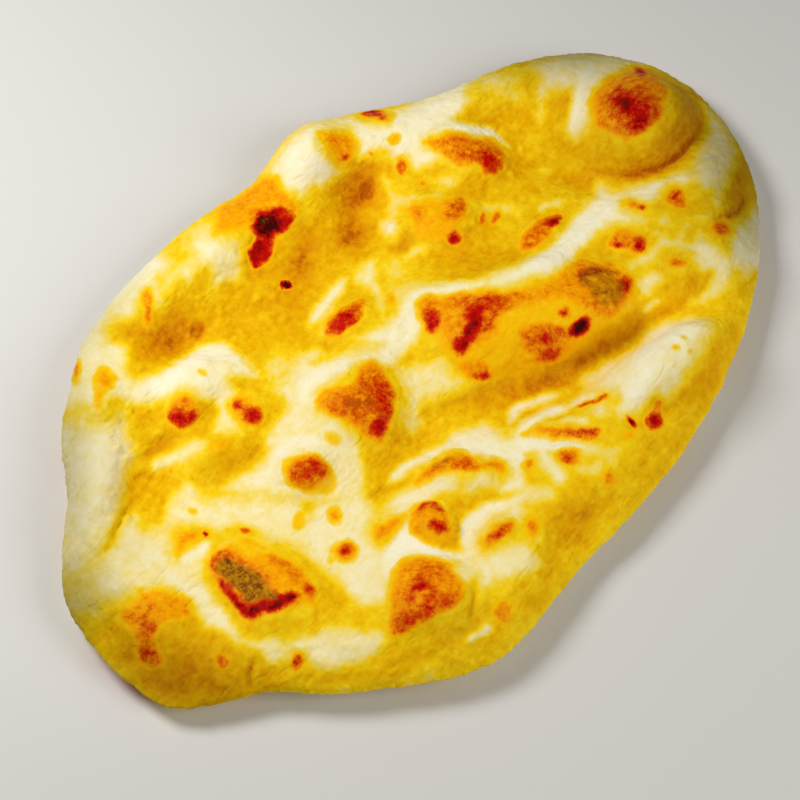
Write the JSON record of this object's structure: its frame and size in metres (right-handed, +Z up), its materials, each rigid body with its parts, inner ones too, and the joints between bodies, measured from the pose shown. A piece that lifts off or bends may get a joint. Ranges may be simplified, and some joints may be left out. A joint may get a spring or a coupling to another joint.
{
  "type": "naan bread",
  "caption": "Oval naan flatbread with a puffed uneven rim, blistered and folded top and flat base, lying flat as served.",
  "frame": {"origin": "middle of the bread's outline, on the surface it lies on", "axes": "+X along the bread's length, towards the end with the large bubble, +Y across it, +Z up through its thickness"},
  "size_m": [0.2814, 0.1736, 0.0232],
  "materials": {
    "crust": "baked crust, cream to golden with toasted and charred spots, low sheen"
  },
  "bodies": {
    "root": {"naan": "crust"}
  },
  "joints": []
}
